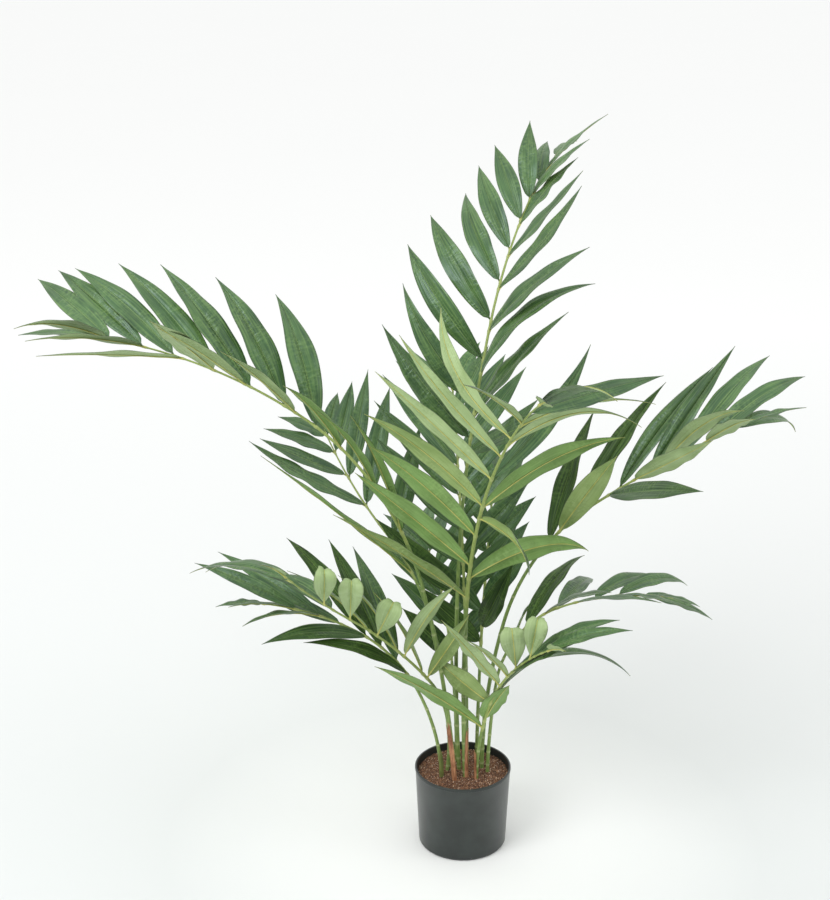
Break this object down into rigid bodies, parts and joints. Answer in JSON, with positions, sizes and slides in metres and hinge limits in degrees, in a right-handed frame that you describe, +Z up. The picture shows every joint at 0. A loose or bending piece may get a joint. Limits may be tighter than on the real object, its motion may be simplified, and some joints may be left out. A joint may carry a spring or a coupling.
{
  "type": "artificial parlor palm in pot",
  "caption": "Artificial parlor palm: a clump of arching feather-shaped fronds on slender stems, planted in a plain round pot that stands on the floor.",
  "frame": {"origin": "centre of the pot's flat underside, where it stands on the floor", "axes": "+Z up along the pot's axis, +X to the right and +Y away from the viewer in the picture's view"},
  "size_m": [1.216, 0.9241, 1.1656],
  "materials": {
    "pot": "satin",
    "soil": "matte",
    "stem": "satin",
    "frond": "satin",
    "husk": "matte"
  },
  "bodies": {
    "root": {"pot": "pot", "soil": "soil", "stem_top": "stem", "stem_left_long": "stem", "stem_front": "stem", "stem_right": "stem", "stem_left_low_front": "stem", "stem_left_low": "stem", "stem_right_low_front": "stem", "stem_right_low": "stem", "stem_left_back": "stem", "stem_back": "stem", "stem_right_back": "stem", "stem_low_back": "stem", "frond_top": "frond", "frond_left_long": "frond", "frond_front": "frond", "frond_right": "frond", "frond_left_low_front": "frond", "frond_left_low": "frond", "frond_right_low_front": "frond", "frond_right_low": "frond", "frond_left_back": "frond", "frond_back": "frond", "frond_right_back": "frond", "frond_low_back": "frond", "husk_1": "husk", "husk_2": "husk", "husk_3": "husk", "husk_4": "husk", "husk_5": "husk"}
  },
  "joints": []
}
